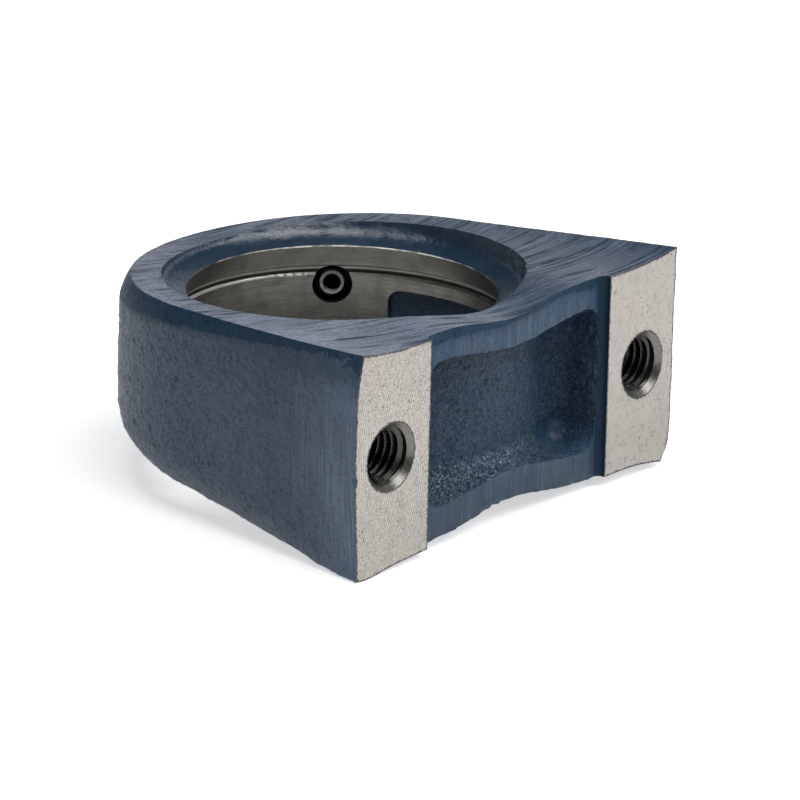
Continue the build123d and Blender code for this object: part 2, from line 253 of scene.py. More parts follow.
def cast_paint(name, grain, pores=True, lines=0.0, rough=(0.26, 0.42), specular=0.42,
               glints=False, shade=1.0):
    """Enamel over cast iron: sand grain and pores, with grinding lines by the feet where lines is
    over 0, and where asked pale specks on the pocket's floor as painted glints of light. Painted
    shade darkens the grain's hollows and pores, and painted light and shade lie on its fine grain.
    shade scales the paint's colour for the light the region gets, a painted light or shade."""
    m = Finish(name, specular=specular)
    coarse = m.noise(1.05, 5.0, 0.72, twist=0.4)
    fine = m.noise(0.60, 3.0, 0.75)
    cloud = m.noise(14, 3.0, 0.6)
    calm = 1.0
    if lines:
        strokes = m.noise(0.5, 3.0, 0.7, (1, 1, 0.03))
        patchy = m.fit(m.noise(6, 2.0, 0.5), 0.32, 0.55)
        near_foot = m.times(m.fit(m.axis(1), -14 * MM, -40 * MM, 0.0, lines), patchy)
        calm = m.fit(m.axis(1), -44 * MM, -30 * MM, 0.30, 1.0)
        m.bump(m.times(strokes, near_foot), 0.26)
    if glints:
        floor = m.fit(m.axis(2), -9.0 * MM, -11.5 * MM)
        corner = m.times(floor, m.fit(m.axis(0), 16 * MM, 21 * MM))
        calm = m.math("MULTIPLY_ADD", corner, -0.85, 1.0)
    m.bump(m.times(coarse, calm), grain)
    m.bump(m.times(fine, calm), grain * 0.6)
    colour = m.mix(m.fit(cloud, 0.3, 0.7), tuple(shade * v for v in PAINT),
                   tuple(shade * v for v in PAINT_PALE))
    # painted shade: the coarse grain's hollows are darkened
    colour = m.mix(m.fit(coarse, 0.50, 0.34, 0.0, 0.8), colour, (0.004, 0.016, 0.040))
    if shade >= 1:
        # painted light and shade on the fine grain: its raised bits lighter, its low bits darker
        grain_light_shade = m.math("MULTIPLY_ADD", m.minus(fine, 0.5), calm, 0.5)
        colour = m.mix(m.fit(grain_light_shade, 0.50, 0.62, 0.0, 0.85), colour, (0.068, 0.128, 0.215))
        colour = m.mix(m.fit(grain_light_shade, 0.47, 0.38, 0.0, 0.8), colour, (0.003, 0.012, 0.030))
    if lines:
        colour = m.mix(m.times(m.fit(strokes, 0.50, 0.62, 0.0, 0.9), near_foot),
                       colour, (0.085, 0.135, 0.195))
        colour = m.mix(m.times(m.fit(strokes, 0.46, 0.36, 0.0, 0.7), near_foot),
                       colour, (0.004, 0.014, 0.034))
        # painted shade: darker towards the band where the edge roundings turn up
        band_shade = m.plus(m.attribute("band"), m.times(m.noise(1.1, 4.0, 0.7), 2.0))
        colour = m.mix(m.fit(band_shade, -0.8, 1.2, 0.0, 0.75), colour, (0.006, 0.026, 0.060))
    if 0 < lines < 1:
        colour = m.mix(m.fit(m.axis(2), -9 * MM, -18 * MM, 0.0, 0.40), colour,
                       (0.012, 0.018, 0.028))
    rough_map = m.fit(fine, 0.3, 0.7, *rough)
    if lines == 1:
        rough_map = m.plus(rough_map, m.fit(band_shade, -0.8, 1.2, 0.0, 0.35))
    if glints:
        # painted glints: pale specks on the pocket's floor for light caught by its grain
        open_side = m.times(floor, m.fit(m.axis(1), -35.9 * MM, -38.5 * MM))
        leftward = m.times(open_side, m.fit(m.axis(0), 22 * MM, -6 * MM, 0.25, 1.0))
        glint = m.times(leftward, m.fit(m.noise(0.50, 4.0, 0.8), 0.53, 0.62))
        colour = m.mix(glint, colour, (0.42, 0.49, 0.57))
        rough_map = m.math("MULTIPLY_ADD", corner, -0.12, rough_map)
    if pores:
        # painted shade: the pores are darkened
        pore = m.fit(m.cells(3.4), 0.075, 0.03)
        m.bump(m.minus(1.0, pore), 0.12)
        colour = m.mix(pore, colour, (0.004, 0.005, 0.007))
    return m.done(colour, rough_map)


WHEEL = (35, 159)   # middle of the wheel's arcs, in millimetres


def ground_paint():
    """Side faces ground flat and painted thinly: long shallow arcs of the grinding wheel, and a
    painted sheen of reflected light, strongest towards negative X.
    """
    m = Finish("ground_paint", specular=0.42)
    arcs = m.arcs(*WHEEL, 0.025)
    streak = m.noise(1.5, 5.0, 0.70, place=arcs)
    hair = m.noise(0.40, 3.0, 0.75, place=arcs)
    patch = m.noise(9, 3.0, 0.6)
    deep = m.noise(0.8, 2.0, 0.5, place=m.arcs(*WHEEL, 0.05))
    score = m.times(m.fit(deep, 0.54, 0.63), m.fit(patch, 0.30, 0.55))
    m.bump(streak, 0.14)
    m.bump(hair, 0.10)
    m.bump(m.minus(1.0, score), 0.03)
    colour = m.ramp(streak, (0.40, (0.008, 0.023, 0.050)), (0.5, PAINT),
                    (0.60, (0.052, 0.086, 0.150)))
    # painted reflection: lighter and darker streaks and specks, strongest towards negative X
    near_sheen = m.fit(m.axis(0), 8 * MM, -28 * MM, 0.10, 1.0)
    colour = m.mix(m.times(near_sheen, m.fit(hair, 0.44, 0.60, 0.0, 0.85)), colour,
                   (0.135, 0.165, 0.250))
    colour = m.mix(m.times(near_sheen, m.fit(hair, 0.44, 0.34, 0.0, 0.9)), colour,
                   (0.005, 0.014, 0.036))
    sheen_specks = m.noise(0.50, 3.0, 0.75)
    colour = m.mix(m.times(near_sheen, m.fit(sheen_specks, 0.51, 0.62, 0.0, 0.7)), colour,
                   (0.20, 0.235, 0.34))
    colour = m.mix(m.times(near_sheen, m.fit(sheen_specks, 0.46, 0.36, 0.0, 0.8)), colour,
                   (0.006, 0.016, 0.040))
    colour = m.mix(score, colour, (0.006, 0.018, 0.045))
    edge = m.plus(m.attribute("edge"), m.times(m.noise(0.5, 3.0, 0.7), -0.7))
    colour = m.mix(m.fit(edge, 0.05, -0.15, 0.0, 0.8), colour, PAINT_DEEP)
    return m.done(colour, m.plus(m.fit(patch, 0.3, 0.7, 0.24, 0.34),
                                 m.times(score, 0.25)))


def milled_iron():
    """Bare milled feet: arcs of a face mill fed along the length, pores, dark ragged borders."""
    m = Finish("milled_iron", metallic=0.85)
    x, z = m.axis(0), m.axis(2)
    sweep = m.math("SQRT", m.minus((40 * MM) ** 2, m.times(z, z)))
    side = m.math("SIGN", x)
    run = m.minus(x, m.times(side, sweep))
    wobble = m.noise(3.0, 2.0, 0.6)
    feed = m.plus(m.times(run, 2 * math.pi / (0.64 * MM)),
                  m.times(wobble, 3.0))
    ridges = m.math("MULTIPLY_ADD", m.math("SINE", feed), 0.5, 0.5)
    place = m.add("ShaderNodeCombineXYZ")
    m.link(run, place.inputs[0])
    m.link(m.times(z, 0.04), place.inputs[1])
    scratches = m.noise(0.35, 2.0, 0.6, place=place.outputs[0])
    grit = m.noise(0.36, 3.0, 0.75)
    cloud = m.noise(7, 3.0, 0.6)
    near = m.fit(x, 1 * MM, -1 * MM, 0.45, 1.0)
    m.bump(m.times(ridges, near), 0.05)
    m.bump(scratches, 0.03)
    m.bump(m.times(grit, near), 0.11)
    colour = m.mix(m.times(ridges, near), (0.62, 0.585, 0.535), (0.335, 0.317, 0.295))
    colour = m.mix(m.fit(scratches, 0.55, 0.3, 0.0, 0.4), colour, (0.36, 0.34, 0.315))
    colour = m.mix(m.fit(cloud, 0.35, 0.7, 0.0, 0.45), colour, (0.60, 0.56, 0.50))
    mottle = m.noise(1.7, 4.0, 0.7)
    colour = m.mix(m.fit(mottle, 0.52, 0.34, 0.0, 0.40), colour, (0.27, 0.255, 0.235))
    dark_grit = m.times(m.fit(grit, 0.47, 0.32), near)
    colour = m.mix(dark_grit, colour, (0.17, 0.16, 0.148))
    colour = m.mix(m.times(m.fit(grit, 0.54, 0.68, 0.0, 0.7), near), colour,
                   (0.80, 0.77, 0.71))
    low = m.fit(z, 8 * MM, -22 * MM, 0.0, 0.20)
    colour = m.mix(m.plus(low, m.fit(x, -1 * MM, 1 * MM, 0.0, 0.25)), colour,
                   (0.20, 0.19, 0.178))
    cluster = m.fit(m.noise(8, 2.0, 0.5), 0.40, 0.60, 0.03, 0.20)
    speck = m.minus(cluster, m.plus(m.cells(0.95), m.times(grit, 0.06)))
    pore = m.math("MAXIMUM", m.fit(m.plus(m.cells(2.3), m.times(grit, 0.10)),
                                   0.125, 0.085), m.fit(speck, -0.03, 0.02))
    m.bump(m.minus(1.0, pore), 0.08)
    # painted shade: the pores and small pits are darkened
    colour = m.mix(pore, colour, (0.05, 0.046, 0.043))
    ragged = m.plus(m.attribute("edge"), m.times(m.noise(0.6, 3.0, 0.7), -1.2))
    colour = m.mix(m.fit(ragged, -0.16, -0.40, 0.0, 0.9), colour, (0.03, 0.035, 0.045))
    return m.done(colour, m.fit(cloud, 0.3, 0.7, 0.42, 0.55))


def turned_iron(name, dark, light, rough=(0.3, 0.42)):
    """Bare bored iron: rings of the boring tool, slightly oxidised, and a painted highlight along
    its edges.
    """
    m = Finish(name, metallic=0.9)
    rings = m.noise(0.30, 3.0, 0.6, (0.03, 0.03, 1))
    cloud = m.noise(5, 4.0, 0.65)
    grit = m.noise(0.3, 3.0, 0.7)
    m.bump(rings, 0.008)
    m.bump(grit, 0.010)
    height = m.math("ABSOLUTE", m.axis(2))
    colour = m.ramp(rings, (0.3, dark), (0.7, light))
    colour = m.mix(m.fit(cloud, 0.4, 0.7, 0.0, 0.6), colour, tuple(0.8 * v for v in dark))
    # darker towards both edges of the seat
    colour = m.mix(m.fit(height, 9.5 * MM, 12 * MM, 0.0, 0.55), colour,
                   tuple(0.6 * v for v in dark))
    colour = m.mix(m.fit(grit, 0.66, 0.78), colour, tuple(1.8 * v for v in light))
    colour = m.mix(m.fit(grit, 0.36, 0.26, 0.0, 0.7), colour, tuple(0.4 * v for v in dark))
    # painted highlight: a patchy glint along each edge of the seat
    uneven = m.plus(height, m.times(cloud, 0.25 * MM))
    edge_glint = m.times(m.fit(uneven, 15.12 * MM, 15.34 * MM),
                    m.fit(m.noise(5, 3.0, 0.7), 0.36, 0.60, 0.10, 1.0))
    colour = m.mix(edge_glint, colour, (0.85, 0.82, 0.77))
    return m.done(colour, m.fit(cloud, 0.3, 0.7, *rough))


def groove_iron():
    """The turned groove in painted light and shade: a painted highlight on its lower lip and
    painted shade above it, broken by a lighter band.
    """
    m = Finish("groove_iron", metallic=0.9)
    cloud = m.noise(6, 3.0, 0.6)
    rings = m.noise(0.30, 3.0, 0.6, (0.03, 0.03, 1))
    level = m.plus(m.axis(2), m.times(cloud, 0.2 * MM))
    lip = (GROOVE_Z - GROOVE_HALF_WIDTH) * MM
    # painted highlight on the lower lip, then painted shade, a lighter band, and painted shade
    # again at the top
    colour = m.mix(m.fit(level, lip + 0.50 * MM, lip + 0.75 * MM), (0.62, 0.60, 0.56),
                   (0.030, 0.029, 0.027))
    colour = m.mix(m.fit(level, lip + 1.25 * MM, lip + 1.5 * MM), colour, (0.30, 0.29, 0.27))
    colour = m.mix(m.fit(level, lip + 2.0 * MM, lip + 2.2 * MM), colour, (0.030, 0.029, 0.027))
    colour = m.mix(m.fit(rings, 0.4, 0.7, 0.0, 0.3), colour, (0.10, 0.098, 0.09))
    return m.done(colour, m.fit(cloud, 0.3, 0.7, 0.50, 0.60))


def steel(name, dark, light, rough, period, depth):
    """Bare steel: a fine grain between two tones, with features of period millimetres."""
    m = Finish(name, metallic=1.0)
    grain = m.noise(period, 4.0, 0.65)
    m.bump(grain, depth)
    return m.done(m.ramp(grain, (0.3, dark), (0.7, light)), m.fit(grain, 0.3, 0.7, *rough))


nipple_steel = steel("nipple_steel", (0.36, 0.355, 0.34), (0.46, 0.455, 0.43), (0.26, 0.34),
                     0.8, 0.003)
# the nipple's steel again, darker: painted shade for the tail down in its recess
nipple_shaded = steel("nipple_shaded", (0.05, 0.049, 0.046), (0.12, 0.117, 0.11), (0.34, 0.46),
                    0.4, 0.01)
ball_steel = steel("ball_steel", (0.55, 0.55, 0.55), (0.66, 0.66, 0.65), (0.08, 0.16), 0.6, 0.003)
spring_steel = steel("spring_steel", (0.02, 0.02, 0.02), (0.05, 0.05, 0.048), (0.3, 0.45),
                     0.3, 0.006)
thread_steel = steel("thread_iron", (0.03, 0.029, 0.027), (0.10, 0.097, 0.09), (0.22, 0.36),
                     0.3, 0.01)

# a kind of surface: its finish, then in millimetres the length of its mesh's edges and the
# height of its cast waves and grain
Region = namedtuple("Region", "finish edge wave grain", defaults=(0.0, 0.0))
REGIONS = {
    # shade scales each cast paint's colour for the light its region gets: painted light on the
    # outer wall, painted shade on the band, mouth, slot and step
    "outer": Region(cast_paint("cast_paint", 0.95, lines=1.0, specular=0.60, shade=1.4),
                    0.70, 0.14, 0.250),
    "band": Region(cast_paint("band_paint", 0.16, pores=False, rough=(0.4, 0.5), specular=0.06,
                              shade=0.75), 0.72, 0.10, 0.050),
    "mouth": Region(cast_paint("mouth_paint", 0.16, rough=(0.12, 0.22), specular=1.0, shade=0.65),
                    0.70, 0.30, 0.055),
    "slot": Region(cast_paint("slot_paint", 0.14, specular=0.22, shade=0.8), 0.90, 0.08, 0.050),
    "pocket": Region(cast_paint("pocket_paint", 0.95, glints=True), 0.66, 0.40, 0.360),
    "land": Region(cast_paint("land_paint", 0.06, pores=False, lines=0.5, specular=0.20),
                   0.80, 0.0, 0.004),
    "step": Region(cast_paint("step_paint", 0.06, pores=False, specular=0.08, shade=0.5), 0.42),
    "ground": Region(ground_paint(), 1.80),
    "feet": Region(milled_iron(), 1.80),
    "seat": Region(turned_iron("bored_iron", (0.115, 0.110, 0.100), (0.19, 0.184, 0.168)), 1.80),
    "groove": Region(groove_iron(), 0.45),
    # the recess's iron is coloured almost black: painted shade in the hole
    "recess": Region(steel("recess_shaded_iron", (0.02, 0.02, 0.02), (0.07, 0.068, 0.064), (0.45, 0.7),
                           0.5, 0.05), 0.50, 0.04, 0.03),
    "hole": Region(steel("tapped_iron", (0.10, 0.098, 0.092), (0.22, 0.215, 0.20), (0.28, 0.42),
                         0.3, 0.01), 1.10),
    "nipple": Region(nipple_steel, 0.34),
    "tail": Region(nipple_shaded, 0.20),
}
NUMBER = {name: index for index, name in enumerate(REGIONS)}
MACHINED = [NUMBER[name] for name in ("ground", "feet", "seat", "groove", "hole")]
TARGET = [region.edge * MM for region in REGIONS.values()]
WAVE = np.array([region.wave for region in REGIONS.values()])
GRAIN = np.array([region.grain for region in REGIONS.values()])


def sort_faces(bm):
    """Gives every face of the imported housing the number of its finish; lengths in millimetres."""
    place = np.array([face.calc_center_median() for face in bm.faces]) / MM
    normal = np.array([face.normal for face in bm.faces])
    x, y, z = place.T
    radius = np.hypot(x, y)
    sphere = np.hypot(radius, z)
    along = x * NIPPLE.x + y * NIPPLE.y
    off = np.hypot(y * NIPPLE.x - x * NIPPLE.y, z - NIPPLE_Z)
    rules = [
        ("pocket", (np.abs(x) < 28.5) & (y < -34.9) & (y > -45.75)),
        ("land", (np.abs(x) < 29.4) & (y < LAND_Y + 0.1)),
        ("step", (np.abs(x) < 29.4) & (np.abs(x) > 27.9) & (y < LAND_Y + 0.01)),
        ("mouth", (np.abs(z) > SEAT_HALF_WIDTH - 0.01) & (radius < 39.5)),
        ("slot", (np.abs(z) < SEAT_HALF_WIDTH + 0.01) & (radius < 37.7)),
        ("groove", (np.abs(z - GROOVE_Z) < GROOVE_HALF_WIDTH + 0.01) & (radius < 37.5)),
        ("seat", (np.abs(z) < SEAT_HALF_WIDTH + 0.01) & (np.abs(sphere - SEAT_RADIUS) < 0.06)),
        ("recess", (along > 30) & (along < NIPPLE_FACE - 0.1) & (off < 4.35)
         & (sphere > SEAT_RADIUS + 0.02)),
        ("ground", (np.abs(z) > 17) & (np.abs(normal[:, 2]) > 0.985) & (radius > 37.5)),
        ("hole", (np.hypot(np.abs(x) - BOLT_X, z) < 7.2) & (y < -20) & (y > FEET_Y + 0.01)),
        ("hole", (along > NIPPLE_FACE - 0.1) & (off < 5.6) & (sphere > 40)),
        ("feet", (y < FEET_Y + 0.1) & (normal[:, 1] < -0.99)),
    ]
    numbers = np.zeros(len(place), int)
    for name, inside in rules:
        numbers[inside] = NUMBER[name]
    for face, number in zip(bm.faces, numbers):
        face.material_index = int(number)


# ---------------------------------------------------------------- even triangles
CREASE = math.radians(20)
ROUND_CREASE = math.radians(65)


def mark_creases(bm):
    for edge in bm.edges:
        first, second = (face.material_index for face in edge.link_faces)
        limit = ROUND_CREASE if first in (NUMBER["step"], NUMBER["groove"]) else CREASE
        edge.smooth = first == second and edge.calc_face_angle(0) <= limit


def by_length(bm, factor, longer):
    """Edges over, or under, factor times the length their faces ask for, most extreme first."""
    found = []
    for edge in bm.edges:
        limit = factor * min(TARGET[face.material_index] for face in edge.link_faces)
        length = edge.calc_length()
        if (length > limit) == longer:
            found.append((-length if longer else length, edge.index, edge))
    return [edge for _, _, edge in sorted(found, key=lambda item: item[:2])]


def renumber(bm):
    for parts in (bm.verts, bm.edges, bm.faces):
        parts.index_update()


def split_long_edges(bm):
    for edge in by_length(bm, 1.35, True):
        ends = edge.verts[:]
        across = [next(v for v in face.verts if v not in ends) for face in edge.link_faces]
        middle = bmesh.utils.edge_split(edge, ends[0], 0.5)[1]
        for vert in across:
            face = next(f for f in middle.link_faces if vert in f.verts)
            bmesh.utils.face_split(face, middle, vert)
    renumber(bm)


def ends_to_weld(edge):
    """(end that stays, end that goes) of a short edge, or None where a crease would move."""
    first, second = edge.verts
    creases = [[e for e in vert.link_edges if not e.smooth] for vert in (first, second)]
    if not all(creases):
        return (second, first) if creases[1] else (first, second)
    if edge.smooth or len(creases[0]) != 2 != len(creases[1]):
        return None
    keep, gone, line = (second, first, creases[0]) if len(creases[1]) != 2 \
        else (first, second, creases[1])
    if len(line) != 2:
        return None
    after = next(e for e in line if e is not edge).other_vert(gone).co - gone.co
    before = gone.co - keep.co
    if min(before.length, after.length) > 1e-9 and before.angle(after) > 0.5:
        return None
    return keep, gone


def weld_ring(keep, gone):
    """The vertices around a weld that keeps the surface sound, or None where it would fold."""
    around = [{edge.other_vert(vert) for edge in vert.link_edges} for vert in (keep, gone)]
    if len(around[0] & around[1]) != 2:
        return None
    for face in gone.link_faces:
        if keep not in face.verts:
            a, b, c = (keep.co if vert is gone else vert.co for vert in face.verts)
            normal = (b - a).cross(c - a)
            if normal.length < 1e-13 or normal.normalized().dot(face.normal) < 0.85:
                return None
    return around[0] | around[1]


def weld_short_edges(bm, factor):
    bm.normal_update()
    for vert in bm.verts:
        vert.tag = False
    welds = {}
    for edge in by_length(bm, factor, False):
        if any(vert.tag for vert in edge.verts):
            continue
        pair = ends_to_weld(edge)
        ring = pair and weld_ring(*pair)
        if ring:
            welds[pair[1]] = pair[0]
            for vert in ring:
                vert.tag = True
    bmesh.ops.weld_verts(bm, targetmap=welds)
    renumber(bm)
    mark_creases(bm)


def relax(bm, surface):
    free = [vert for vert in bm.verts if all(edge.smooth for edge in vert.link_edges)]
    bmesh.ops.smooth_vert(bm, verts=free, factor=0.5, use_axis_x=True, use_axis_y=True,
                          use_axis_z=True)
    for vert in free:
        vert.co = surface.find_nearest(vert.co)[0]


def even_triangles(bm, rounds):
    """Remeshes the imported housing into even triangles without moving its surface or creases."""
    surface = BVHTree.FromBMesh(bm)
    mark_creases(bm)
    for _ in range(3):
        weld_short_edges(bm, 0.45)
    for _ in range(rounds):
        split_long_edges(bm)
        mark_creases(bm)
        weld_short_edges(bm, 0.6)
        smooth = [edge for edge in bm.edges if edge.smooth]
        bmesh.ops.beautify_fill(bm, faces=bm.faces, edges=smooth, method="AREA")
        relax(bm, surface)
        mark_creases(bm)


# ---------------------------------------------------------------- housing
def fade(value, start, end):
    """0 at start to 1 at end, smoothly."""
    t = min(max((value - start) / (end - start), 0), 1)
    return t * t * (3 - 2 * t)


def round_groove(bm):
    """Turns the square groove beside the seat's middle into the half-round one of a form tool."""
    half, depth = GROOVE_HALF_WIDTH, GROOVE_DEPTH
    for vert in bm.verts:
        x, y, z = vert.co / MM
        radius, dz = math.hypot(x, y), z - GROOVE_Z
        if abs(dz) > half + 0.01 or not 33 < radius < 37.5:
            continue
        if not any(face.material_index == NUMBER["groove"] for face in vert.link_faces):
            continue
        edge = math.sqrt(SEAT_RADIUS ** 2 - (GROOVE_Z + math.copysign(half, dz)) ** 2)
        sink = min(max(radius - edge, 0), depth)
        if abs(abs(dz) - half) < 0.02:
            run = sink if dz < 0 else 2 * half + 2 * depth - sink
        else:
            run = depth + half + dz
        angle = math.pi * run / (2 * half + 2 * depth)
        level = GROOVE_Z - half * math.cos(angle)
        wanted = math.sqrt(SEAT_RADIUS ** 2 - level ** 2) + depth * math.sin(angle)
        vert.co.x *= wanted / radius
        vert.co.y *= wanted / radius
        vert.co.z = level * MM


def round_step(bm):
    """Puts the fillet between the land and each foot back on its true radius."""
    radius, centre_x, centre_y = 1.4, 27.9, -47.2
    for vert in bm.verts:
        if all(face.material_index == NUMBER["step"] for face in vert.link_faces):
            x, y, _ = vert.co / MM
            across, up = abs(x) - centre_x, y - centre_y
            if across > 0 and up > 0:
                scale = radius / math.hypot(across, up)
                vert.co.x = math.copysign(centre_x + across * scale, x) * MM
                vert.co.y = (centre_y + up * scale) * MM
            elif across > 0:
                vert.co.x = math.copysign(centre_x + radius, x) * MM


# the mouth's profile, in radius and height: where ledge and wall meet, and how each runs
MOUTH_CORNER = Vector((37.424, 16.7))
LEDGE_RUN = Vector((4.88, 1.3)).normalized()
WALL_RUN = Vector((math.sin(math.radians(10)), math.cos(math.radians(10))))
HOLLOW_MIDDLE = math.atan2(NIPPLE.y, NIPPLE.x)
SIDE_HOLLOW, BACK_HOLLOW = 1.0, 4.0


def hollow_mouth(bm):
    """Turns the mouth's tight fillet into a hollow, wide at the back and narrow at the sides."""
    turn = LEDGE_RUN.angle(WALL_RUN)
    bisector = (LEDGE_RUN + WALL_RUN).normalized()
    upward = Vector((-LEDGE_RUN.y, LEDGE_RUN.x))
    angles = np.linspace(0, turn, 41)
    for vert in bm.verts:
        numbers = {face.material_index for face in vert.link_faces}
        if NUMBER["mouth"] not in numbers:
            continue
        x, y, z = vert.co / MM
        radius, level = math.hypot(x, y), abs(z)
        swing = abs(math.remainder(math.atan2(y, x) - HOLLOW_MIDDLE, 2 * math.pi))
        hollow = SIDE_HOLLOW + (BACK_HOLLOW - SIDE_HOLLOW) \
            * fade(swing, math.radians(50), math.radians(24))
        reach = hollow * math.tan(turn / 2)
        start = MOUTH_CORNER - LEDGE_RUN * reach
        rise = start.y + hollow * (np.sin(angles) * LEDGE_RUN.y + (1 - np.cos(angles)) * upward.y)
        side = 19.233 - 0.0334 * y + 0.000927 * x * x
        run = (Vector((radius, level)) - MOUTH_CORNER).dot(bisector) / math.cos(turn / 2)
        if NUMBER["ground"] in numbers:
            side = level
        top = min((side - MOUTH_CORNER.y) / WALL_RUN.y, reach)
        if not -reach < run < top + 0.01:
            continue
        angle = (run + reach) / (top + reach) * np.interp(side, rise, angles)
        place = start + hollow * (math.sin(angle) * LEDGE_RUN + (1 - math.cos(angle)) * upward)
        vert.co.x *= place.x / radius
        vert.co.y *= place.x / radius
        if NUMBER["ground"] not in numbers:
            vert.co.z = math.copysign(place.y, z) * MM


RING_RADIUS = 46.5
UPPER_ROUNDING, LOWER_ROUNDING = 9, 11
LEAN = 3.05   # how far the roundings sit low at one foot and high at the other


def rounding_inset(radius, drop):
    """How far an edge rounding has turned in, drop millimetres past its tangent."""
    return radius - math.sqrt(radius ** 2 - min(max(drop, 0), radius * 0.95) ** 2)


def askew(p):
    """Shift along X of the outer wall by the feet, where the raw casting sits askew."""
    share = min(max(p.y / FEET_Y, 0), 1) ** 1.4
    hold = fade(abs(p.x), 38, 47)
    if share * hold == 0:
        return 0.0
    curve = p.y * (p.y - RING_RADIUS)
    if p.z > 0:
        radius, raw = UPPER_ROUNDING, 24.6 - 0.0860 * p.y + 0.000403 * curve
    else:
        radius, raw = LOWER_ROUNDING, 21.6 - 0.0667 * p.y + 0.001279 * curve
    lean = LEAN if (p.x < 0) == (p.z > 0) else -LEAN
    drop = abs(p.z) - raw + radius
    inward = rounding_inset(radius, drop + lean * share) - rounding_inset(radius, drop)
    if p.x < 0 and p.z > 0:
        inward = share * (rounding_inset(45, p.z - 12.5) - rounding_inset(radius, drop))
    if p.x < 0:
        outward = 0.6 * share * fade(p.z, -26, 4)
    else:
        outward = share * (-0.5 + 0.6 * fade(p.z, 9, 19) + 0.25 * fade(p.z, 21, 22.5))
    return math.copysign(1, p.x) * (outward - inward) * hold


def set_askew(bm):
    """Leans the outer wall, and counts what it lays flat beside the feet as ground face."""
    for vert in bm.verts:
        vert.co.x += askew(vert.co / MM) * MM
    bm.normal_update()
    for face in bm.faces:
        if face.material_index == NUMBER["outer"] and abs(face.normal.z) > 0.9 \
                and face.calc_center_median().y < -36 * MM:
            face.material_index = NUMBER["ground"]


def drop_slivers(bm):
    """Closes up the slivers that the moved borders leave in the flat ground faces."""
    for _ in range(3):
        slivers = [face for face in bm.faces
                   if face.material_index == NUMBER["ground"] and abs(face.normal.z) < 0.95]
        shortest = {min(face.edges, key=lambda edge: edge.calc_length()) for face in slivers}
        bmesh.ops.collapse(bm, edges=list(shortest))
        bm.normal_update()
    bm.verts.index_update()


def open_corners(bm):
    """Splits the triangles that would have all three corners on a machined face's border."""
    def on_border(vert):
        return len({face.material_index for face in vert.link_faces}) > 1
    inner = [edge for edge in bm.edges
             if on_border(edge.verts[0]) and on_border(edge.verts[1])
             and len({face.material_index for face in edge.link_faces}) == 1
             and edge.link_faces[0].material_index in (NUMBER["feet"], NUMBER["ground"])]
    bmesh.ops.subdivide_edges(bm, edges=inner, cuts=1)
    bmesh.ops.triangulate(bm, faces=[face for face in bm.faces if len(face.verts) > 3])
    bm.verts.index_update()
    bm.normal_update()


def band_shade_depth(bm, distances):
    """How deep each vertex lies in the band of smoother paint on the edge roundings, in
    millimetres; the band also carries painted shade where the roundings turn up.
    """
    depths = []
    for vert in bm.verts:
        p = vert.co / MM
        faces = [face for face in vert.link_faces if face.material_index == NUMBER["outer"]]
        if faces:
            normal = sum((face.normal for face in faces), Vector()).normalized()
            steep = np.interp(p.y, [-47, -38, -28, -16, 10], [0.20, 0.18, 0.14, 0.15, 0.22])
            depths.append(9 * (normal.z - steep))
        elif p.z > 10 and p.y < -40:
            depths.append(np.interp(p.x, [-29, -12, 0, 15, 24], [2.7, 1.9, 1.0, 0.6, 2.2])
                          - distances[vert.index])
        else:
            depths.append(-5.0)
    return depths


def ragged_shaded_band(bm, depths):
    """Paints those roundings smooth, with a ragged border to the grained skin; their darker
    colour is painted shade where they turn up.
    """
    for face in bm.faces:
        if face.material_index in (NUMBER["outer"], NUMBER["land"]):
            p = face.calc_center_median() / MM
            rag = 0.25 * noise.noise(p / 1.3) + 0.15 * noise.noise(p / 0.5)
            if sum(depths[vert.index] for vert in face.verts) / 3 + rag > 0:
                face.material_index = NUMBER["band"]


def cast_height(p, wave, grain):
    """Height of the sand-cast skin at a point, in millimetres."""
    height = wave * noise.noise(p / 7) + 0.5 * wave * noise.noise(p / 3.1 + Vector((5, 2, 9)))
    if grain:
        height += grain * noise.noise(p / 1.15) + 0.6 * grain * noise.noise(p / 0.62)
        lump = noise.noise(p / 1.9 + Vector((31, 7, 3)))
        height += 0.8 * grain * max(lump - 0.25, 0)
    return height


def foot_sag(p):
    """How far the near foot's lower end hangs below the drawn face, in millimetres."""
    if p.z > -12 or p.x > -22 or p.y > -26:
        return 0.0
    across = np.interp(p.x, [-52.2, -49.5, -46.8, -41, -34.8, -29.3, -24],
                       [0.45, 1.45, 1.6, 1.35, 1.15, 0.8, 0.0])
    return across * fade(-p.z, 13, 21.5) * fade(-p.y, 27, 44)


FOOT_NICK = Vector((-52.6, FEET_Y, -2.7))


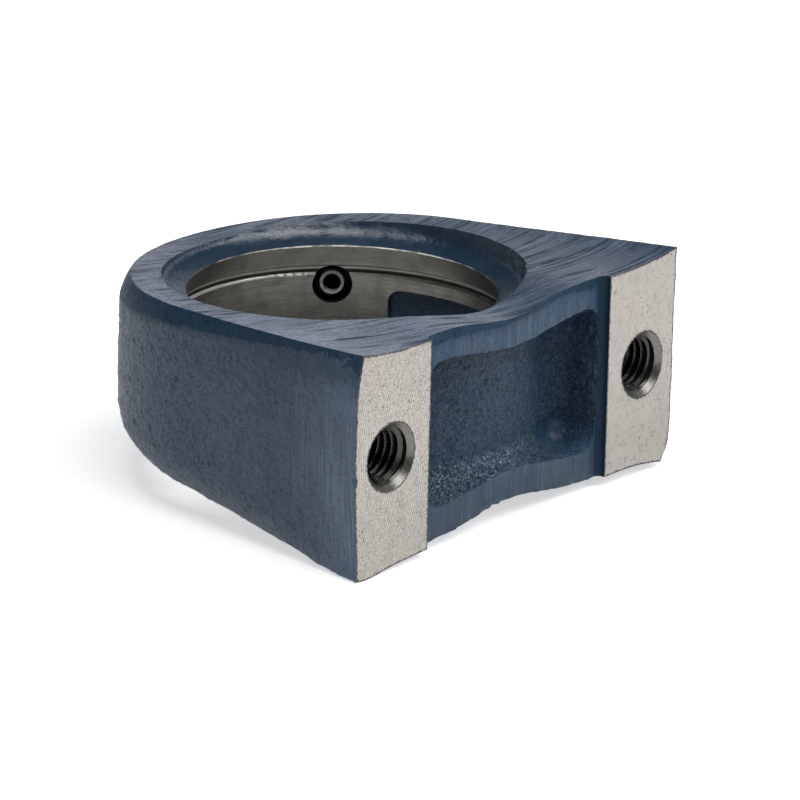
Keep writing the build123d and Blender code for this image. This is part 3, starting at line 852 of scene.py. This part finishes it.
def roughen(bm):
    """Moves the cast skin by its grain, and frays the borders of the machined faces."""
    moves = []
    for vert in bm.verts:
        p = vert.co / MM
        cast, flats = [], []
        for face in vert.link_faces:
            (flats if face.material_index in MACHINED else cast).append(face)
        if not cast:
            moves.append(Vector((0, 0, -foot_sag(p))))
            continue
        numbers = [face.material_index for face in cast]
        wave, grain = WAVE[numbers].mean(), GRAIN[numbers].mean()
        # the flanks turn smoother towards the feet, as does one corner of the pocket's floor
        smooth_flank = fade(-p.y, 22, 40) if abs(p.x) > 45 else 0.0
        wave, grain = wave * (1 - 0.5 * smooth_flank), grain * (1 - 0.75 * smooth_flank)
        if abs(p.x) < 28.5 and p.y < -34 and p.z < -9:
            grain *= 1 - 0.75 * fade(p.x, 18, 23)
        normal = sum((face.normal for face in cast), Vector()).normalized()
        if flats:
            frayed = {NUMBER["ground"], NUMBER["feet"]} & {face.material_index for face in flats}
            if not frayed:
                moves.append(Vector())
                continue
            if NUMBER["step"] in numbers:
                moves.append(Vector((0, 0, -foot_sag(p))))
                continue
            fray = 0.10 * noise.noise(p / 1.3) + 0.12 * noise.noise(p / 3.7) \
                + 0.07 * noise.noise(p / 0.6)
            fray -= 0.9 * fade((p - FOOT_NICK).length, 1.1, 0.2)
            # the lower edges are more broken, and the land's has a notch
            if p.z < -15 and p.y < -30:
                fray *= 1.8
                if abs(p.x) < 29:
                    fray += 0.30 * noise.noise(p / 2.1) - 0.85 * fade(abs(p.x + 5.5), 1.1, 0.2)
            move = normal * fray
            for flat in {tuple(round(v, 2) for v in face.normal): face.normal
                         for face in flats}.values():
                move -= flat * move.dot(flat)
        else:
            move = normal * cast_height(p, wave, grain)
        moves.append(move + Vector((0, 0, -foot_sag(p))))
    for vert, move in zip(bm.verts, moves):
        vert.co += move * MM


def edge_distance(bm):
    """Each vertex's distance in millimetres from the nearest border of a machined face."""
    machined = set(MACHINED)
    border = {}
    for edge in bm.edges:
        if len({face.material_index for face in edge.link_faces}) == 2 \
                and any(face.material_index in machined for face in edge.link_faces):
            for vert in edge.verts:
                border.setdefault(vert.index, []).append(edge)
    bm.verts.ensure_lookup_table()
    tree = KDTree(len(border))
    for index in border:
        tree.insert(bm.verts[index].co, index)
    tree.balance()
    distances = []
    for vert in bm.verts:
        if vert.index in border:
            distances.append(0.0)
            continue
        _, index, nearest = tree.find(vert.co)
        for edge in border[index]:
            a, b = (end.co for end in edge.verts)
            run = b - a
            t = min(max((vert.co - a).dot(run) / max(run.length_squared, 1e-18), 0), 1)
            nearest = min(nearest, (vert.co - a - run * t).length)
        distances.append(nearest / MM)
    return distances


def piece(name, mesh, body, slot, *replaced):
    ob = bpy.data.objects.new(name, mesh)
    bpy.context.scene.collection.objects.link(ob)
    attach(ob, body)
    if replaced:
        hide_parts(*replaced)
    return ob


def housing_skin():
    """The whole housing as one closed mesh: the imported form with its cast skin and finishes."""
    bm = bmesh.new()
    bm.from_mesh(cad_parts["housing"].data)
    bmesh.ops.remove_doubles(bm, verts=bm.verts, dist=1e-7)
    bm.normal_update()
    sort_faces(bm)
    even_triangles(bm, 5)
    bm.normal_update()
    round_groove(bm)
    round_step(bm)
    hollow_mouth(bm)
    set_askew(bm)
    drop_slivers(bm)
    open_corners(bm)
    distances = edge_distance(bm)
    depths = band_shade_depth(bm, distances)
    ragged_shaded_band(bm, depths)
    roughen(bm)
    bm.normal_update()
    for face in bm.faces:
        face.smooth = True
    for edge in bm.edges:
        edge.smooth = edge.calc_face_angle(0) < math.radians(32)
    mesh = bpy.data.meshes.new("housing_skin")
    for region in REGIONS.values():
        mesh.materials.append(region.finish)
    bm.to_mesh(mesh)
    bm.free()
    for name, values in (("edge", distances), ("band", depths)):
        mesh.attributes.new(name, "FLOAT", "POINT").data.foreach_set("value", values)
    piece("housing_skin", mesh, "housing_body", "housing", "housing")


# ---------------------------------------------------------------- grease nipple
NIPPLE_BASE = Vector((NIPPLE_FACE * NIPPLE.x, NIPPLE_FACE * NIPPLE.y, NIPPLE_Z))
# radius and height of the turned outlines: the tail's outside, then the head and down the bore
TURNED = (
    ((2.6, -8.3), (3.0, -7.9), (3.0, 0.0), (4.1, 0.0)),
    ((4.04, 3.088), (3.5, 3.4), (2.35, 3.4), (2.35, 4.2), (3.25, 5.1), (3.25, 5.6), (1.7, 9.7),
     (0.7, 9.7), (0.7, 8.85), (1.65, 7.9), (1.65, -5.3), (1.9, -5.3), (1.9, -5.9), (1.65, -5.9),
     (1.65, -8.0), (1.95, -8.3), (2.6, -8.3)),
)


def on_profile(radius, height):
    """The nearest point of the nipple's turned profile, or None beyond 0.12 mm."""
    best, reach = None, 0.12
    here = Vector((radius, height))
    for line in TURNED:
        for start, end in zip(line, line[1:]):
            a, run = Vector(start), Vector(end) - Vector(start)
            t = min(max((here - a).dot(run) / run.length_squared, 0), 1)
            distance = (here - a - run * t).length
            if distance < reach:
                best, reach = a + run * t, distance
    return best


def nipple_skin():
    """The nipple as one fine mesh: true turned surfaces, and its thread in the open recess."""
    bm = bmesh.new()
    bm.from_mesh(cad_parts["grease_nipple_body"].data)
    bmesh.ops.remove_doubles(bm, verts=bm.verts, dist=1e-7)
    bm.normal_update()

    def turned_place(co):
        """Height along the nipple's axis, and the way out from it, in millimetres."""
        q = co / MM - NIPPLE_BASE
        height = q.dot(NIPPLE)
        return height, q - NIPPLE * height

    for face in bm.faces:
        height, _ = turned_place(face.calc_center_median())
        face.material_index = NUMBER["tail" if height < 0 else "nipple"]
    even_triangles(bm, 5)
    for vert in bm.verts:
        height, out = turned_place(vert.co)
        place = on_profile(out.length, height)
        if place is None or out.length < 1e-6:
            continue
        if place.x > 2.9 and -7.8 < height < -4.75:
            swing = math.atan2(out.dot(NIPPLE.cross(Vector((0, 0, 1)))), out.z)
            place.x -= 0.26 * (0.5 + 0.5 * math.cos(2 * math.pi * height + swing)) \
                * fade(-height, 4.75, 5.1) * fade(height, -7.8, -7.4)
        vert.co = (NIPPLE_BASE + NIPPLE * place.y + out * (place.x / out.length)) * MM
    bm.normal_update()
    for face in bm.faces:
        face.smooth = True
        height, out = turned_place(face.calc_center_median())
        # the tail down in the recess takes the darker steel, painted shade, but not the ring at its
        # end
        bright_end = out.length > 1.94 and height < -7.85
        face.material_index = int(face.material_index == NUMBER["tail"] and not bright_end)
    for edge in bm.edges:
        edge.smooth = edge.calc_face_angle(0) < math.radians(25)
    mesh = bpy.data.meshes.new("nipple_skin")
    for material in (nipple_steel, nipple_shaded):
        mesh.materials.append(material)
    bm.to_mesh(mesh)
    bm.free()
    piece("nipple_skin", mesh, "housing_body", "nipple", "grease_nipple_body")


def spring_coils():
    """The spring, a copy of the imported coils in spring steel."""
    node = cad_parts["nipple_check_spring"]
    mesh = node.data.copy()
    mesh.transform(node.matrix_world)
    mesh.materials.clear()
    mesh.materials.append(spring_steel)
    ob = piece("check_spring_coils", mesh, "housing_body", "check_spring", "nipple_check_spring")
    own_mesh(ob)


# ---------------------------------------------------------------- threads
def thread(name, origin, axis, side, pitch, root, crest, start, end, cone=None):
    """A helical ridge inside a hole: root and crest radii, from start to end along the axis."""
    steps = 56
    across = axis.cross(side)
    turns = (end - start) / pitch
    count = int(turns * steps)
    verts, faces = [], []
    for i in range(count + 1):
        angle = 2 * math.pi * i / steps
        middle = start + (end - start) * i / count
        taper = min(fade(i, 0, steps * 0.35), fade(count - i, 0, steps * 0.35))
        out = side * math.cos(angle) + across * math.sin(angle)
        peak = root + (crest - root) * taper
        for radius, shift in ((root, -0.45), (peak, -0.11), (peak, 0.11), (root, 0.45)):
            depth = middle + shift * pitch
            if cone:
                radius = max(radius, cone - depth + 0.03)
            verts.append((origin + axis * depth + out * radius) * MM)
    for i in range(count):
        for j in range(4):
            k = (j + 1) % 4
            faces.append((4 * i + j, 4 * i + 4 + j, 4 * i + 4 + k, 4 * i + k))
    faces += [(0, 1, 2, 3), tuple(4 * count + j for j in (3, 2, 1, 0))]
    mesh = bpy.data.meshes.new(name)
    mesh.from_pydata(verts, [], faces)
    mesh.materials.append(thread_steel)
    bm = bmesh.new()
    bm.from_mesh(mesh)
    bmesh.ops.recalc_face_normals(bm, faces=bm.faces)
    for face in bm.faces:
        face.smooth = True
    for edge in bm.edges:
        edge.smooth = edge.calc_face_angle(0) < math.radians(30)
    bm.to_mesh(mesh)
    bm.free()
    piece(name, mesh, "housing_body", "housing")


housing_skin()
nipple_skin()
for label, x in (("left", -BOLT_X), ("right", BOLT_X)):
    thread(f"bolt_thread_{label}", Vector((x, FEET_Y, 0)), Vector((0, 1, 0)), Vector((1, 0, 0)),
           1.75, 6.05, 5.06, 1.1, 19.2, cone=7.1)

spring_coils()
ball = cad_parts["nipple_check_ball"]
ball.data.materials.clear()
ball.data.materials.append(ball_steel)


# ---------------------------------------------------------------- studio
def seen_as(tree, shader, lit):
    """lit to camera, glossy and transmission rays, and shader to all others."""
    path = tree.nodes.new("ShaderNodeLightPath")
    seen = path.outputs["Is Camera Ray"]
    for ray in ("Is Glossy Ray", "Is Transmission Ray"):
        either = tree.nodes.new("ShaderNodeMath")
        either.operation = "MAXIMUM"
        tree.links.new(seen, either.inputs[0])
        tree.links.new(path.outputs[ray], either.inputs[1])
        seen = either.outputs[0]
    mix = tree.nodes.new("ShaderNodeMixShader")
    tree.links.new(seen, mix.inputs[0])
    tree.links.new(shader, mix.inputs[1])
    tree.links.new(lit, mix.inputs[2])
    return mix.outputs[0]


def add_floor(level):
    mesh = bpy.data.meshes.new("floor")
    half = 4.0
    mesh.from_pydata([(-half, -half, level), (half, -half, level), (half, half, level),
                      (-half, half, level)], [], [(0, 1, 2, 3)])
    ob = bpy.data.objects.new("floor", mesh)
    bpy.context.scene.collection.objects.link(ob)
    material = bpy.data.materials.new("pale_floor")
    material.use_nodes = True
    tree = material.node_tree
    tree.nodes.clear()
    out = tree.nodes.new("ShaderNodeOutputMaterial")
    plain = tree.nodes.new("ShaderNodeBsdfDiffuse")
    plain.inputs[0].default_value = (0.8, 0.8, 0.8, 1)
    glow = tree.nodes.new("ShaderNodeEmission")
    glow.inputs[0].default_value = (1, 1, 1, 1)
    glow.inputs[1].default_value = 0.55
    both = tree.nodes.new("ShaderNodeAddShader")
    tree.links.new(plain.outputs[0], both.inputs[0])
    tree.links.new(glow.outputs[0], both.inputs[1])
    tree.links.new(seen_as(tree, plain.outputs[0], both.outputs[0]), out.inputs[0])
    mesh.materials.append(material)
    ob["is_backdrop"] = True


def sky(tree, height, gain, stops):
    """A background whose brightness follows the height above the horizon."""
    ramp = tree.nodes.new("ShaderNodeValToRGB")
    elements = ramp.color_ramp.elements
    while len(elements) < len(stops):
        elements.new(0.5)
    for element, (place, level) in zip(elements, stops):
        element.position = place
        element.color = (0.96 * level, 0.99 * level, 1.04 * level, 1)
    tree.links.new(height, ramp.inputs[0])
    room = tree.nodes.new("ShaderNodeBackground")
    room.inputs[1].default_value = gain
    tree.links.new(ramp.outputs[0], room.inputs[0])
    return room.outputs[0]


def add_world():
    """A studio with a white backdrop behind the object, dimmer round the sides and overhead."""
    world = bpy.data.worlds.new("studio")
    bpy.context.scene.world = world
    world.use_nodes = True
    tree = world.node_tree
    tree.nodes.clear()
    out = tree.nodes.new("ShaderNodeOutputWorld")
    place = tree.nodes.new("ShaderNodeTexCoord").outputs["Generated"]
    split = tree.nodes.new("ShaderNodeSeparateXYZ")
    tree.links.new(place, split.inputs[0])
    height = split.outputs[2]
    stops = ((0.0, 0.96), (0.10, 0.96), (0.22, 0.40), (0.36, 0.10), (1.0, 0.06))
    light = sky(tree, height, 1.5, stops)
    behind = sky(tree, height, 0.85, stops)
    sides = sky(tree, height, 0.25, stops)
    facing = tree.nodes.new("ShaderNodeVectorMath")
    facing.operation = "DOT_PRODUCT"
    facing.inputs[1].default_value = (0.772, 0.635, 0)
    tree.links.new(place, facing.inputs[0])
    share = tree.nodes.new("ShaderNodeMapRange")
    share.interpolation_type = "SMOOTHSTEP"
    share.inputs[1].default_value = 0.1
    share.inputs[2].default_value = 0.7
    tree.links.new(facing.outputs["Value"], share.inputs[0])
    backdrop = tree.nodes.new("ShaderNodeMixShader")
    tree.links.new(share.outputs[0], backdrop.inputs[0])
    tree.links.new(sides, backdrop.inputs[1])
    tree.links.new(behind, backdrop.inputs[2])
    tree.links.new(seen_as(tree, light, backdrop.outputs[0]), out.inputs[0])


def softbox(name, direction, distance, size, power, turn=0.0):
    """An area light in metres and watts, aimed at the object and turned about its aim."""
    data = bpy.data.lights.new(name, "AREA")
    data.shape = "RECTANGLE"
    data.size, data.size_y = size
    data.energy = power
    ob = bpy.data.objects.new(name, data)
    ob.location = Vector(direction).normalized() * distance
    ob.visible_camera = False
    aim = (-ob.location).to_track_quat("-Z", "Y")
    ob.rotation_euler = (aim @ Quaternion((0, 0, 1), math.radians(turn))).to_euler()
    bpy.context.scene.collection.objects.link(ob)


add_world()
add_floor(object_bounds()[0][2])
softbox("top", (-0.05, -0.38, 0.92), 1.3, (1.6, 0.8), 17.0, turn=-44)
softbox("back", (0.735, 0.605, 0.14), 2.0, (1.6, 0.42), 1.3)
softbox("side", (0.80, -0.42, 0.40), 1.7, (0.4, 0.5), 1.6)
softbox("front", (0.22, -0.75, 0.62), 1.5, (0.7, 0.6), 4.0)
bpy.context.scene.view_settings.view_transform = "Standard"
